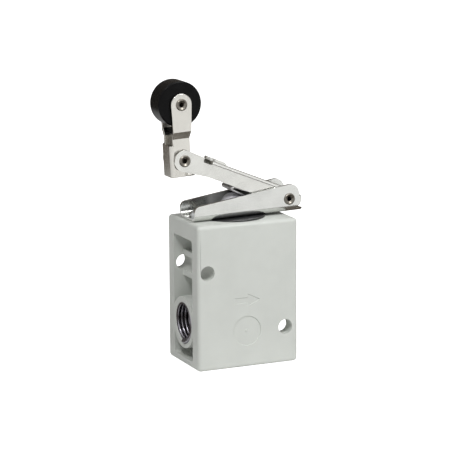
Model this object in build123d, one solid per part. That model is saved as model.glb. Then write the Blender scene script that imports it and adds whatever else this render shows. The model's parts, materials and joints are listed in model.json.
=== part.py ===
"""Three-port mechanical valve with a one-way roller lever.

A moulded block holds a vertical poppet valve. A sheet-metal bracket on its top carries a lever
arm, and a folding fork with a roller stands on the end of the arm.

Millimetres. The origin is the centre of the block's underside. +X points to the lever's pivot,
+Y to the back of the block, and +Z up. The valve's own axis is the Z axis.
"""
from build123d import *
from math import acos, atan2, cos, degrees, hypot, radians, sin, tan
import os

# Block
body_width = 37.0
body_depth = 26.0
body_height = 50.0
body_edge_radius = 1.3

# Cored pockets in the left and right side, which leave the port bosses standing
pocket_width = 16.0
pocket_bottom = 2.5
pocket_roof = 5.8
pocket_depth = 7.5
pocket_corner_radius = 1.2

# Ports: 1/4 inch pipe thread, drawn at its major diameter
port_thread_diameter = 13.2
port_thread_depth = 10.0
port_mouth_chamfer = 0.35
port_boss_diameter = 17.9
port_passage_diameter = 5.5
inlet_height = 14.7
outlet_height = 31.7

# Two mounting holes across the block
mounting_hole_diameter = 5.1
mounting_boss_diameter = 9.2
upper_hole_x = -14.9
upper_hole_z = 33.8
lower_hole_x = 13.8
lower_hole_z = 12.6

# Sunk gate mark on the front face
gate_mark_diameter = 10.2
gate_mark_depth = 0.3
gate_mark_x = -0.5
gate_mark_z = 12.7
gate_stub_diameter = 1.1

# Bores of the valve, from below
plug_diameter = 17.0
plug_height = 7.5
plug_chamfer = 0.5
lower_bore_diameter = 14.0
seat_shoulder_height = 24.0
middle_bore_diameter = 11.0
upper_bore_diameter = 14.0
upper_bore_depth = 12.0

# Bottom plug
plug_spigot_diameter = 6.4
plug_spigot_height = 2.2
plug_guide_depth = 7.2
spanner_hole_diameter = 2.2
spanner_hole_depth = 3.0
spanner_hole_pitch = 10.0

# Poppet
poppet_head_diameter = 10.0
poppet_head_height = 2.2
poppet_stem_diameter = 5.0
poppet_stem_bottom = 4.6
poppet_seal_thickness = 1.0
seal_recess_wall = 0.7

# Seat ring
seat_ring_height = 3.0
seat_bore_diameter = 6.6
seat_lip_height = 0.6
seat_lip_wall = 0.7
seat_oring_cord = 1.0

# Plunger and button
plunger_diameter = 5.0
plunger_bore_diameter = 2.6
plunger_lost_motion = 1.1
plunger_collar_diameter = 9.0
plunger_collar_height = 1.6
plunger_vent_diameter = 1.6
button_diameter = 8.0
button_rise = 8.0
button_length = 7.4
button_socket_depth = 2.6

# Guide bush
bush_flange_diameter = 22.4
bush_flange_thickness = 0.45
bush_neck_diameter = 9.9
bush_neck_height = 2.6
bush_counterbore_depth = 6.0

# O-rings: cord thickness, how much wider the groove is, and where the rings sit
oring_cord = 1.5
groove_width_factor = 1.1
bush_oring_step = 3.0
plunger_oring_step = 5.8
plug_oring_height = 5.0

# Coil springs
plunger_spring_wire = 0.8
plunger_spring_diameter = 8.4
plunger_spring_turns = 4.5
poppet_spring_wire = 0.7
poppet_spring_diameter = 7.6
poppet_spring_turns = 4.0

# Clearances
running_clearance = 0.05
guide_clearance = 0.08
side_clearance = 0.3
stop_clearance = 0.06
contact_clearance = 0.05
spring_clearance = 0.05
neck_side_clearance = 0.25

# Base bracket: a channel open upwards, seated with a small tilt
sheet = 1.0
seat_tilt = 1.5
base_outer_width = 13.0
base_bend_radius = 2.2
base_left = -16.6
base_right = 23.3
base_wall_left_height = 5.2
base_wall_slope = 8.46
base_left_corner_radius = 2.0
base_lip_rise = 0.1
ear_reach = 3.7
ear_corner_radius = 3.4
ear_notch_height = 1.2
ear_notch_depth = 1.2

# Pivot and hinge
pivot_x = 18.44
pivot_rise = 4.95
lever_length = 41.06
lever_rise = 22.5

# Lever arm: a channel open downwards
arm_top = 3.2
arm_bottom = 2.4
arm_bend_radius = 1.2
arm_hinge_radius = 3.65
arm_tail = 5.2
arm_tail_bottom = 2.9
arm_tail_radius = 2.6
arm_tail_clearance = 0.6
arm_tail_taper = 6.5
arm_web_start = 10.0
arm_notch_length = 3.5
arm_notch_depth = 1.4
arm_notch_radius = 0.5
tongue_root = 16.4
tongue_reach = 2.4
tongue_width = 6.0
tongue_rise = 0.9
tongue_joggle = 1.1
tongue_side_gap = 0.3

# Presser leaf: a hairpin, its upper leg held by the pivot pin and its lower leg on the button
leaf_thickness = 0.6
leaf_press_slope = 27.0
leaf_fold_distance = 20.7
leaf_fold_depth = 2.6
leaf_fold_radius = 0.55
leaf_free_end = 5.0

# Roller bracket
fork_sheet = 0.9
bracket_bend_radius = 1.3
bracket_lean = 3.0
bracket_web_offset = 4.43
bracket_web_bottom = 5.6
bracket_bottom_rise = 0.35
bracket_web_top = 5.3
bracket_neck_front = 2.75
joggle_start = 7.6
joggle_end = 10.3
joggle_setback = 0.5
fork_back = 3.45
fork_front = 3.1
fork_end_radius = 3.7
roller_height = 19.03
foot_root_drop = 1.0
foot_start = 2.4
foot_end = 5.2

# Pins
pin_diameter = 3.0
pin_bore_diameter = 1.6
pin_head_diameter = 4.0
pin_head_height = 0.45
pin_head_rim = 0.2
pin_head_chamfer = 0.25
pin_head_land = 0.25
pin_head_dish = 0.4

# Roller
roller_diameter = 15.4
roller_width = 8.0
roller_edge_radius = 0.5

# Torsion spring
torsion_wire = 0.6
torsion_coil_diameter = 4.6
torsion_turns = 3
torsion_pitch_factor = 1.15
torsion_bracket_leg_length = 5.0
torsion_arm_leg_length = 11.6

# Screws that hold the base bracket
screw_diameter = 3.0
screw_head_diameter = 5.4
screw_head_height = 1.6
screw_head_radius = 0.9
screw_length = 6.0
screw_hole_spare = 1.0
screw_offset = 13.0
screw_socket_size = 1.6
screw_socket_depth = 0.9


# Simple solids, placed by their ends

def upright(diameter, bottom, top):
    """A cylinder on the Z axis between two heights."""
    bar = Cylinder(diameter / 2, top - bottom, align=(Align.CENTER, Align.CENTER, Align.MIN))
    return Pos(0, 0, bottom) * bar


def crosswise(diameter, x, z, front, back):
    """A cylinder along Y through the point x, z."""
    bar = Cylinder(diameter / 2, back - front, align=(Align.CENTER, Align.CENTER, Align.MIN))
    return Pos(x, front, z) * Rot(-90, 0, 0) * bar


def lengthwise(diameter, left, right, z):
    """A cylinder along X at a height."""
    bar = Cylinder(diameter / 2, right - left, align=(Align.CENTER, Align.CENTER, Align.MIN))
    return Pos(left, 0, z) * Rot(0, 90, 0) * bar


def block(left, right, front, back, bottom, top):
    """A box between two corners."""
    middle = Pos((left + right) / 2, (front + back) / 2, (bottom + top) / 2)
    return middle * Box(right - left, back - front, top - bottom)


def plate(outline, front, back):
    """A plate across Y from an outline drawn in X and Z."""
    return Pos(0, back, 0) * extrude(Plane.XZ * outline, amount=back - front)


def turned(points):
    """A ring or shaft turned about the Z axis, from a section of radius and height."""
    section = make_face(Plane.XZ * Polyline(*points, close=True))
    return revolve(section, Axis.Z)


def channel_section(width, height, wall, bend):
    """A U section open upwards, its web on the line y = 0."""
    outer = Pos(0, height / 2) * Rectangle(width, height)
    outer = fillet(outer.vertices().sort_by(Axis.Y)[:2], bend)
    inner = Pos(0, height / 2 + wall) * Rectangle(width - 2 * wall, height)
    inner = fillet(inner.vertices().sort_by(Axis.Y)[:2], max(bend - wall, 0.1))
    return outer - inner


def ring(cord, diameter, height):
    """An O-ring on the Z axis."""
    return Pos(0, 0, height) * Torus(diameter / 2, cord / 2)


def coil(wire, diameter, turns, bottom, top):
    """A coil spring on the Z axis between two heights."""
    rise = top - bottom - wire
    path = Helix(rise / turns, rise, diameter / 2)
    section = Plane(path @ 0, z_dir=path % 0) * RegularPolygon(wire / 2, 8)
    return Pos(0, 0, bottom + wire / 2) * sweep(section, path, is_frenet=True)


# Heights that follow from the sizes above
half_width = body_width / 2
half_depth = body_depth / 2
pocket_top = body_height - pocket_roof
upper_bore_bottom = body_height - upper_bore_depth
bush_neck_top = body_height + bush_neck_height
bush_counterbore_bottom = bush_neck_top - bush_counterbore_depth
bush_oring_height = upper_bore_bottom + bush_oring_step
plunger_oring_height = upper_bore_bottom + plunger_oring_step
button_top = body_height + button_rise
button_skirt_bottom = button_top - button_length
bracket_seat = body_height + bush_flange_thickness
pivot_z = bracket_seat + pivot_rise
seat_bottom = seat_shoulder_height - seat_ring_height
seat_oring_height = (seat_bottom + seat_lip_height + seat_shoulder_height) / 2
poppet_head_top = seat_bottom
plunger_tip = poppet_head_top + plunger_lost_motion
plunger_top = button_skirt_bottom + button_socket_depth
collar_top = upper_bore_bottom
collar_bottom = collar_top - plunger_collar_height
poppet_head_bottom = poppet_head_top - poppet_head_height
spring_seat = plug_height

base_half = base_outer_width / 2
arm_half = base_half - sheet - side_clearance
leaf_half = arm_half - sheet - side_clearance
neck_half = arm_half - sheet - neck_side_clearance
prong_inner = roller_width / 2 + side_clearance
prong_outer = prong_inner + fork_sheet

hinge_x = pivot_x - lever_length * cos(radians(lever_rise))
hinge_z = pivot_z + lever_length * sin(radians(lever_rise))
arm_frame = Location((pivot_x, 0, pivot_z), (0, lever_rise, 0))
fork_frame = Location((hinge_x, 0, hinge_z), (0, -bracket_lean, 0))
roller_x = hinge_x - roller_height * sin(radians(bracket_lean))
roller_z = hinge_z + roller_height * cos(radians(bracket_lean))
base_frame = Location((0, 0, bracket_seat), (0, -seat_tilt, 0))


# Block

def side_pocket(side, port_z, hole_x, hole_z):
    """The space cored out of one side, without the bosses that stand in it."""
    floor = half_width - pocket_depth
    outline = RectangleRounded(pocket_width, pocket_top - pocket_bottom, pocket_corner_radius)
    space = extrude(outline, amount=pocket_depth)
    space = Pos(floor, 0, (pocket_top + pocket_bottom) / 2) * Rot(0, 90, 0) * Rot(0, 0, 90) * space
    boss = lengthwise(port_boss_diameter, floor, half_width, port_z)
    half_tube = crosswise(mounting_boss_diameter, abs(hole_x), hole_z, -pocket_width / 2, pocket_width / 2)
    half_tube &= block(0, abs(hole_x), -half_depth, half_depth, 0, body_height)
    space = space - boss - half_tube
    return space if side > 0 else mirror(space, Plane.YZ)


def port(side, z):
    """A threaded port and its passage, cut in from one side."""
    bottom = half_width - port_thread_depth
    bore = lengthwise(port_thread_diameter, bottom, half_width, z)
    lead = Pos(half_width - port_mouth_chamfer, 0, z) * Rot(0, 90, 0) * Cone(
        port_thread_diameter / 2,
        port_thread_diameter / 2 + port_mouth_chamfer,
        port_mouth_chamfer,
        align=(Align.CENTER, Align.CENTER, Align.MIN),
    )
    passage = lengthwise(port_passage_diameter, 0, bottom, z)
    cut = bore + lead + passage
    return cut if side > 0 else mirror(cut, Plane.YZ)


def make_body():
    """The block with its pockets, ports, bores and mounting holes."""
    body = block(-half_width, half_width, -half_depth, half_depth, 0, body_height)
    body = fillet(body.edges(), body_edge_radius)
    body -= side_pocket(-1, inlet_height, upper_hole_x, upper_hole_z)
    body -= side_pocket(1, outlet_height, lower_hole_x, lower_hole_z)
    body -= upright(plug_diameter, 0, plug_height)
    body -= upright(lower_bore_diameter, 0, seat_shoulder_height)
    body -= upright(middle_bore_diameter, seat_shoulder_height, upper_bore_bottom)
    body -= upright(upper_bore_diameter, upper_bore_bottom, body_height)
    body -= port(-1, inlet_height)
    body -= port(1, outlet_height)
    for hole_x, hole_z in ((upper_hole_x, upper_hole_z), (lower_hole_x, lower_hole_z)):
        body -= crosswise(mounting_hole_diameter, hole_x, hole_z, -half_depth, half_depth)
    mark_floor = -half_depth + gate_mark_depth
    stub_end = -half_depth + gate_mark_depth / 3
    body -= crosswise(gate_mark_diameter, gate_mark_x, gate_mark_z, -half_depth, mark_floor)
    body += crosswise(gate_stub_diameter, gate_mark_x, gate_mark_z, stub_end, mark_floor)
    screw_hole = upright(screw_diameter, sheet - screw_length - screw_hole_spare, sheet)
    for offset in (-screw_offset, screw_offset):
        body -= base_frame * Pos(offset, 0, 0) * screw_hole
    return body


# Valve inside the block

def oring_groove(cord, inner_diameter, outer_diameter, height):
    """The ring of space that an O-ring takes."""
    width = cord * groove_width_factor
    groove = upright(outer_diameter, height - width / 2, height + width / 2)
    return groove - upright(inner_diameter, height - width, height + width)


def make_bottom_plug():
    """The plug that closes the bore, with a guide for the poppet and two spanner holes."""
    plug = upright(plug_diameter, 0, plug_height)
    plug = chamfer(plug.edges().sort_by(Axis.Z)[-1], plug_chamfer)
    spigot_top = plug_height + plug_spigot_height
    plug += upright(plug_spigot_diameter, plug_height, spigot_top)
    guide = poppet_stem_diameter + 2 * running_clearance
    plug -= upright(guide, spigot_top - plug_guide_depth, spigot_top)
    plug -= oring_groove(oring_cord, plug_diameter - 2 * oring_cord, plug_diameter, plug_oring_height)
    for side in (-1, 1):
        hole = upright(spanner_hole_diameter, 0, spanner_hole_depth)
        plug -= Pos(side * spanner_hole_pitch / 2, 0, 0) * hole
    return plug


def make_poppet():
    """The poppet head with a recess for its seal, and its guide stem."""
    head = upright(poppet_head_diameter, poppet_head_bottom, poppet_head_top)
    stem = upright(poppet_stem_diameter, poppet_stem_bottom, poppet_head_bottom)
    recess = upright(
        poppet_head_diameter - 2 * seal_recess_wall, poppet_head_top - poppet_seal_thickness, poppet_head_top
    )
    return head + stem - recess


def make_poppet_seal():
    """The rubber disc in the poppet head."""
    return upright(
        poppet_head_diameter - 2 * seal_recess_wall, poppet_head_top - poppet_seal_thickness, poppet_head_top
    )


def make_seat_ring():
    """The seat: a ring with a raised lip on its underside and an O-ring groove outside."""
    seat = upright(lower_bore_diameter, seat_bottom + seat_lip_height, seat_shoulder_height)
    seat += upright(seat_bore_diameter + 2 * seat_lip_wall, seat_bottom, seat_bottom + seat_lip_height)
    seat -= upright(seat_bore_diameter, seat_bottom, seat_shoulder_height)
    groove_floor = lower_bore_diameter - 2 * seat_oring_cord
    return seat - oring_groove(seat_oring_cord, groove_floor, lower_bore_diameter, seat_oring_height)


def make_plunger():
    """The hollow stem: exhaust passes up its bore and out of the cross hole."""
    collar = upright(plunger_collar_diameter, collar_bottom, collar_top)
    stem = upright(plunger_diameter, plunger_tip, plunger_top)
    vent_height = bush_counterbore_bottom + plunger_vent_diameter
    stem += collar
    stem -= upright(plunger_bore_diameter, plunger_tip, vent_height)
    stem -= crosswise(plunger_vent_diameter, 0, vent_height, -plunger_diameter, plunger_diameter)
    return stem


def make_button():
    """The domed button, a cylinder closed by a half sphere, socketed on the plunger."""
    centre = button_top - button_diameter / 2
    button = upright(button_diameter, button_skirt_bottom, centre)
    dome = Pos(0, 0, centre) * Sphere(button_diameter / 2)
    dome &= upright(button_diameter, centre, button_top)
    return button + dome - upright(plunger_diameter, button_skirt_bottom, plunger_top)


def make_guide_bush():
    """The bush that guides plunger and button; its flange carries the base bracket."""
    bush = upright(upper_bore_diameter, upper_bore_bottom, body_height)
    flange = upright(bush_flange_diameter, body_height, bush_neck_top)
    reach = bush_flange_diameter
    bush += flange - base_frame * block(-reach, reach, -reach, reach, 0, reach)
    bush += upright(bush_neck_diameter, body_height, bush_neck_top)
    bush -= upright(plunger_diameter + 2 * running_clearance, upper_bore_bottom, bush_counterbore_bottom)
    bush -= upright(button_diameter + 2 * guide_clearance, bush_counterbore_bottom, bush_neck_top)
    groove_floor = upper_bore_diameter - 2 * oring_cord
    bush -= oring_groove(oring_cord, groove_floor, upper_bore_diameter, bush_oring_height)
    inner = plunger_diameter + 2 * running_clearance
    bush -= oring_groove(oring_cord, inner, inner + 2 * oring_cord, plunger_oring_height)
    return bush


# Base bracket and its fasteners

def base_outline():
    """Side view of the bracket: low wall at the left, rising to the ear round the pivot."""
    left_top = bracket_seat + base_left * tan(radians(seat_tilt)) + base_wall_left_height
    right = pivot_x + ear_reach
    right_top = left_top + (right - base_left) * tan(radians(base_wall_slope))
    lip_top = bracket_seat + right * tan(radians(seat_tilt)) + sheet + base_lip_rise
    below = body_height - sheet
    corners = [
        (base_left, below),
        (base_right, below),
        (base_right, lip_top),
        (right - ear_notch_depth, lip_top),
        (right, lip_top + ear_notch_height),
        (right, right_top),
        (base_left, left_top),
    ]
    outline = make_face(Polyline(*corners, close=True))
    top_corners = outline.vertices().sort_by(Axis.Y)[-2:]
    outline = fillet(top_corners.sort_by(Axis.X)[-1], ear_corner_radius)
    left_corner = outline.vertices().sort_by(Axis.X)[:2].sort_by(Axis.Y)[-1]
    return fillet(left_corner, base_left_corner_radius)


def make_base_bracket():
    """The channel, bent from sheet, with a hole for the bush and two for the screws."""
    section = channel_section(base_outer_width, base_outer_width, sheet, base_bend_radius)
    spare = base_outer_width
    bar = extrude(Plane.YZ * section, amount=base_right - base_left + 2 * spare)
    bar = base_frame * Pos(base_left - spare, 0, 0) * bar
    bracket = bar & plate(base_outline(), -base_half, base_half)
    neck_hole = upright(bush_neck_diameter + 2 * stop_clearance, body_height, bush_neck_top)
    bracket -= neck_hole
    bracket -= crosswise(pin_diameter, pivot_x, pivot_z, -base_half, base_half)
    screw_hole = upright(screw_diameter + 2 * running_clearance, -sheet, 2 * sheet)
    for offset in (-screw_offset, screw_offset):
        bracket -= base_frame * Pos(offset, 0, 0) * screw_hole
    return bracket


def make_bracket_screws():
    """Two button-head screws with a hexagon socket, square to the tilted web."""
    head = upright(screw_head_diameter, sheet, sheet + screw_head_height)
    head = fillet(head.edges().sort_by(Axis.Z)[-1], screw_head_radius)
    screw = head + upright(screw_diameter, sheet - screw_length, sheet)
    socket = Pos(0, 0, sheet + screw_head_height - screw_socket_depth) * extrude(
        RegularPolygon(screw_socket_size / 2, 6), amount=screw_socket_depth
    )
    screw -= socket
    return Compound([base_frame * Pos(offset, 0, 0) * screw for offset in (-screw_offset, screw_offset)])


def tubular_rivet(half_length):
    """A tubular pin along Y with a dished, flared head at each end."""
    shank_radius = pin_diameter / 2
    bore_radius = pin_bore_diameter / 2
    head_radius = pin_head_diameter / 2
    outer = half_length + pin_head_height
    half = [
        (bore_radius, 0),
        (shank_radius, 0),
        (shank_radius, half_length),
        (head_radius, half_length),
        (head_radius, half_length + pin_head_rim),
        (head_radius - pin_head_chamfer, outer),
        (head_radius - pin_head_chamfer - pin_head_land, outer),
        (bore_radius, outer - pin_head_dish),
    ]
    one_end = turned(half)
    return Rot(90, 0, 0) * (one_end + mirror(one_end, Plane.XY))


# Lever arm

def arm_ear():
    """Side view of one hinge ear in the arm's frame: a round end, tapering to the channel's wall."""
    web_start = -lever_length + arm_web_start
    round_end = Pos(-lever_length, 0) * Circle(arm_hinge_radius)
    wall_end = Line((web_start, -arm_bottom), (web_start, arm_top))
    return make_hull(round_end.edges() + [wall_end])


def arm_outline():
    """Side view of the channel in the arm's frame: pivot at the origin, deeper at its tail."""
    web_start = -lever_length + arm_web_start
    corners = [
        (web_start, arm_top),
        (arm_tail, arm_top),
        (arm_tail, -arm_tail_bottom),
        (-arm_tail, -arm_tail_bottom),
        (-arm_tail - arm_tail_taper, -arm_bottom),
        (web_start, -arm_bottom),
    ]
    outline = make_face(Polyline(*corners, close=True))
    return fillet(outline.vertices().sort_by(Axis.X)[-2:], arm_tail_radius)


def tongue_outline():
    """Side view of the tongue in the arm's frame: it leaves the web and steps up by its rise."""
    root = -lever_length + tongue_root
    step = root - tongue_joggle
    tip = -lever_length + arm_web_start - tongue_reach
    web_under = arm_top - sheet
    corners = [
        (root + sheet, web_under),
        (root, web_under),
        (step, web_under + tongue_rise),
        (tip, web_under + tongue_rise),
        (tip, arm_top + tongue_rise),
        (step, arm_top + tongue_rise),
        (root, arm_top),
        (root + sheet, arm_top),
    ]
    return make_face(Polyline(*corners, close=True))


def make_lever_arm():
    """The channel open downwards, with notched ears at the hinge end and a raised tongue in its web."""
    section = channel_section(2 * arm_half, 2 * arm_half, sheet, arm_bend_radius)
    web_start = -lever_length + arm_web_start
    bar = Rot(180, 0, 0) * extrude(Plane.YZ * section, amount=lever_length + arm_tail)
    arm = (Pos(-lever_length, 0, arm_top) * bar) & plate(arm_outline(), -arm_half, arm_half)
    arm += plate(arm_ear(), -arm_half, -arm_half + sheet)
    arm += plate(arm_ear(), arm_half - sheet, arm_half)
    notch_floor = arm_top - arm_notch_depth
    notch = block(web_start - arm_notch_length, web_start, -arm_half, arm_half, notch_floor, arm_top + sheet)
    arm -= fillet(notch.edges().filter_by(Axis.Y).group_by(Axis.Z)[0], arm_notch_radius)
    half = tongue_width / 2
    slot_half = half + tongue_side_gap
    root = -lever_length + tongue_root
    arm -= block(web_start, root, -slot_half, slot_half, 0, arm_top + sheet)
    arm += plate(tongue_outline(), -half, half)
    for hole_x, clearance in ((-lever_length, 0), (0, running_clearance)):
        arm -= crosswise(pin_diameter + 2 * clearance, hole_x, 0, -arm_half, arm_half)
    web_space = block(0, base_right + sheet, -base_half, base_half, -sheet, sheet + arm_tail_clearance)
    return arm_frame * arm - base_frame * web_space


def leaf_points():
    """The leaf's centre line in the arm's frame: under the pin, out to the fold, back over the button."""
    eye = pin_diameter / 2 + running_clearance + leaf_thickness / 2
    slope = radians(leaf_press_slope)
    dome_x = -pivot_x
    dome_z = button_top - button_diameter / 2 - pivot_z
    reach = button_diameter / 2 + contact_clearance + leaf_thickness / 2
    offset = dome_x * sin(slope) + dome_z * cos(slope) + reach
    tilt = slope - radians(lever_rise)

    def lower_leg(distance):
        return (-distance, (offset + distance * sin(tilt)) / cos(tilt))

    fold = (-leaf_fold_distance, -leaf_fold_depth)
    free_end = pivot_x - leaf_free_end
    return (0, -eye), fold, lower_leg(leaf_fold_distance), lower_leg(free_end)


def make_presser_leaf():
    """A hairpin strip: an eye round the pivot pin, a leg under the arm and one back over the button."""
    line = FilletPolyline(*leaf_points(), radius=leaf_fold_radius)
    leaf = plate(trace(line, leaf_thickness), -leaf_half, leaf_half)
    eye_inner = pin_diameter + 2 * running_clearance
    leaf += crosswise(eye_inner + 2 * leaf_thickness, 0, 0, -leaf_half, leaf_half)
    leaf -= crosswise(eye_inner, 0, 0, -leaf_half, leaf_half)
    return arm_frame * leaf


# Roller bracket

def arm_edge(distance):
    """A point of the arm's lower edge, by its distance from the hinge, in the fork's frame."""
    taper = atan2(arm_bottom, arm_web_start) + acos(arm_hinge_radius / hypot(arm_bottom, arm_web_start))
    drop = (arm_hinge_radius - distance * cos(taper)) / sin(taper)
    turn = radians(lever_rise + bracket_lean)
    return (
        distance * cos(turn) - drop * sin(turn),
        -distance * sin(turn) - drop * cos(turn) - stop_clearance,
    )


def fork_outline():
    """Side view in the fork's frame: hinge at the origin, roller above it."""
    back = -bracket_web_offset
    foot_tip, foot_top = arm_edge(foot_end)
    lower = make_face(
        Polyline(
            (back, -bracket_web_bottom),
            (foot_tip, -bracket_web_bottom + bracket_bottom_rise),
            (foot_tip, foot_top),
            (bracket_neck_front, -foot_root_drop),
            (bracket_neck_front, joggle_start),
            (fork_front, joggle_end),
            (-fork_back, joggle_end),
            (-fork_back, bracket_web_top),
            (back, bracket_web_top),
            close=True,
        )
    )
    round_end = Pos(0, roller_height) * Circle(fork_end_radius)
    prong_root = Line((-fork_back, joggle_end), (fork_front, joggle_end))
    return lower + make_hull(round_end.edges() + [prong_root])


def wall_band():
    """Front view of one wall: the neck, the outward joggle and the prong."""
    inner = neck_half - fork_sheet
    top = roller_height + fork_end_radius
    return make_face(
        Polyline(
            (inner, -bracket_web_bottom),
            (neck_half, -bracket_web_bottom),
            (neck_half, joggle_start),
            (prong_outer, joggle_end - joggle_setback),
            (prong_outer, top),
            (prong_inner, top),
            (prong_inner, joggle_end),
            (inner, joggle_start + joggle_setback),
            close=True,
        )
    )


def make_roller_bracket():
    """The folding fork: a channel with its web at the back, two prongs and two stop feet."""
    band = Plane.YZ * wall_band()
    reach = bracket_web_offset + foot_end
    wall = Pos(-reach, 0, 0) * extrude(band, amount=2 * reach)
    walls = wall + mirror(wall, Plane.XZ)
    section = channel_section(2 * neck_half, bracket_web_offset, fork_sheet, bracket_bend_radius)
    web = extrude(Rot(0, 0, -90) * section, amount=bracket_web_bottom + bracket_web_top)
    web = Pos(-bracket_web_offset, 0, -bracket_web_bottom) * web
    outline = plate(fork_outline(), -prong_outer, prong_outer)
    bend_end = -bracket_web_offset + bracket_bend_radius
    bend_space = block(-reach, bend_end, -arm_half, arm_half, -bracket_web_bottom, bracket_web_top)
    bracket = (walls - bend_space + web) & outline
    near, far = arm_edge(foot_start), arm_edge(foot_end)
    foot_bottom = -bracket_web_bottom + bracket_bottom_rise
    foot = make_face(Polyline((near[0], foot_bottom), (far[0], foot_bottom), far, near, close=True))
    bracket += plate(foot, neck_half - fork_sheet, arm_half)
    bracket += plate(foot, -arm_half, -neck_half + fork_sheet)
    bracket -= crosswise(pin_diameter + 2 * running_clearance, 0, 0, -prong_outer, prong_outer)
    bracket -= crosswise(pin_diameter, 0, roller_height, -prong_outer, prong_outer)
    return fork_frame * bracket


def tangent_angle(radius, leg, offset):
    """Where a straight leg leaves a circle so that its tip lies at an offset from the centre."""
    return acos(offset / hypot(radius, leg)) + atan2(radius, leg)


def make_torsion_spring():
    """The coil round the hinge pin: one leg on the bracket's web, one under the arm's web."""
    radius = torsion_coil_diameter / 2
    half_wire = torsion_wire / 2
    web_gap = bracket_web_offset - fork_sheet - half_wire - contact_clearance
    arm_gap = arm_top - sheet - half_wire - contact_clearance
    start = 180 + 90 - degrees(tangent_angle(radius, torsion_bracket_leg_length, web_gap))
    end = 360 - lever_rise - bracket_lean
    end -= degrees(tangent_angle(radius, torsion_arm_leg_length, arm_gap))
    end += degrees(2 * atan2(radius, torsion_arm_leg_length))
    turns = torsion_turns + (end - start) / 360
    pitch = torsion_wire * torsion_pitch_factor
    path = Helix(pitch, pitch * turns, radius)
    wire = RegularPolygon(half_wire, 8)
    spring = sweep(Plane(path @ 0, z_dir=path % 0) * wire, path, is_frenet=True)
    spring += extrude(Plane(path @ 0, z_dir=-(path % 0)) * wire, amount=torsion_bracket_leg_length)
    spring += extrude(Plane(path @ 1, z_dir=path % 1) * wire, amount=torsion_arm_leg_length)
    spring = Rot(90, 0, 0) * Pos(0, 0, -pitch * turns / 2) * Rot(0, 0, start) * spring
    return fork_frame * spring


def make_roller():
    """The roller with rounded rims, bored for its axle."""
    half = roller_width / 2
    wheel = crosswise(roller_diameter, roller_x, roller_z, -half, half)
    wheel = fillet(wheel.edges().filter_by(GeomType.CIRCLE), roller_edge_radius)
    return wheel - crosswise(pin_diameter + 2 * guide_clearance, roller_x, roller_z, -half, half)


nodes = {
    "body": make_body(),
    "guide_bush": make_guide_bush(),
    "bush_oring": ring(oring_cord, upper_bore_diameter - oring_cord, bush_oring_height),
    "plunger_oring": ring(
        oring_cord, plunger_diameter + oring_cord + 2 * running_clearance, plunger_oring_height,
    ),
    "plunger": make_plunger(),
    "button": make_button(),
    "plunger_spring": coil(
        plunger_spring_wire, plunger_spring_diameter - plunger_spring_wire, plunger_spring_turns,
        seat_shoulder_height + spring_clearance, collar_bottom - spring_clearance,
    ),
    "seat_ring": make_seat_ring(),
    "seat_oring": ring(seat_oring_cord, lower_bore_diameter - seat_oring_cord, seat_oring_height),
    "poppet": make_poppet(),
    "poppet_seal": make_poppet_seal(),
    "poppet_spring": coil(
        poppet_spring_wire, poppet_spring_diameter, poppet_spring_turns,
        spring_seat + spring_clearance, poppet_head_bottom - spring_clearance,
    ),
    "bottom_plug": make_bottom_plug(),
    "plug_oring": ring(oring_cord, plug_diameter - oring_cord, plug_oring_height),
    "base_bracket": make_base_bracket(),
    "bracket_screws": make_bracket_screws(),
    "pivot_pin": Pos(pivot_x, 0, pivot_z) * tubular_rivet(base_half),
    "lever_arm": make_lever_arm(),
    "presser_leaf": make_presser_leaf(),
    "hinge_pin": Pos(hinge_x, 0, hinge_z) * tubular_rivet(arm_half),
    "roller_bracket": make_roller_bracket(),
    "torsion_spring": make_torsion_spring(),
    "roller_axle": Pos(roller_x, 0, roller_z) * tubular_rivet(prong_outer),
    "roller": make_roller(),
}

os.makedirs("parts", exist_ok=True)
for name, solid in nodes.items():
    export_step(solid, f"parts/{name}.step")
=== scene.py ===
"""Looks of a mechanical valve with a one-way roller lever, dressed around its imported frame.

Metres, in the frame's own axes: the block's underside is at z = 0, +X points to the lever's pivot,
+Y to the back of the block and +Z up. Sizes written in millimetres are turned to metres with MM.
"""
import json
import logging
import math
from dataclasses import dataclass
from enum import Enum
from typing import Any, Callable, Sequence

import bmesh
import bpy
from mathutils import Matrix, Vector
from mathutils.bvhtree import BVHTree


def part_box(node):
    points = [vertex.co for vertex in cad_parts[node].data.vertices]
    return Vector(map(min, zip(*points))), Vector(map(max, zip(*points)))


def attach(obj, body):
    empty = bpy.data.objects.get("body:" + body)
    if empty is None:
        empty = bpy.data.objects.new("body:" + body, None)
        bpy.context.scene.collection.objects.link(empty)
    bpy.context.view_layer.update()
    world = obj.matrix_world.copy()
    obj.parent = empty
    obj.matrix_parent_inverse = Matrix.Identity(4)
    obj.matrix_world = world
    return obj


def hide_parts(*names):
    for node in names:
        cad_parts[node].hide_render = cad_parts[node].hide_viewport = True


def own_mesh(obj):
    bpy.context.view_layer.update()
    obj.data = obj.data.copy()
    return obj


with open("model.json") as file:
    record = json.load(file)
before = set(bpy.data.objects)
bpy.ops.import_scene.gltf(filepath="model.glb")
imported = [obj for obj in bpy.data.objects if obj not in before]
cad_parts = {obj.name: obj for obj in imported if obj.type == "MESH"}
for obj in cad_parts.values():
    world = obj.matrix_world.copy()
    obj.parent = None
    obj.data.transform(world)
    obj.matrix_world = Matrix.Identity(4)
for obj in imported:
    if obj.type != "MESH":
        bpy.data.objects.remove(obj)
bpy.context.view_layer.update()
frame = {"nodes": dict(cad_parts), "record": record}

MM = 0.001
ARM_RISE_DEGREES = 22.5
# Corners closer together than TINY_MM become one, faces that meet flatter than FLAT_DEGREES become one, and
# edges sharper than EDGE_DEGREES are eased in EDGE_STEPS steps.
TINY_MM = 0.01
FLAT_DEGREES = 0.2
EDGE_DEGREES = 25
EDGE_STEPS = 3
log = logging.getLogger("valve")

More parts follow.
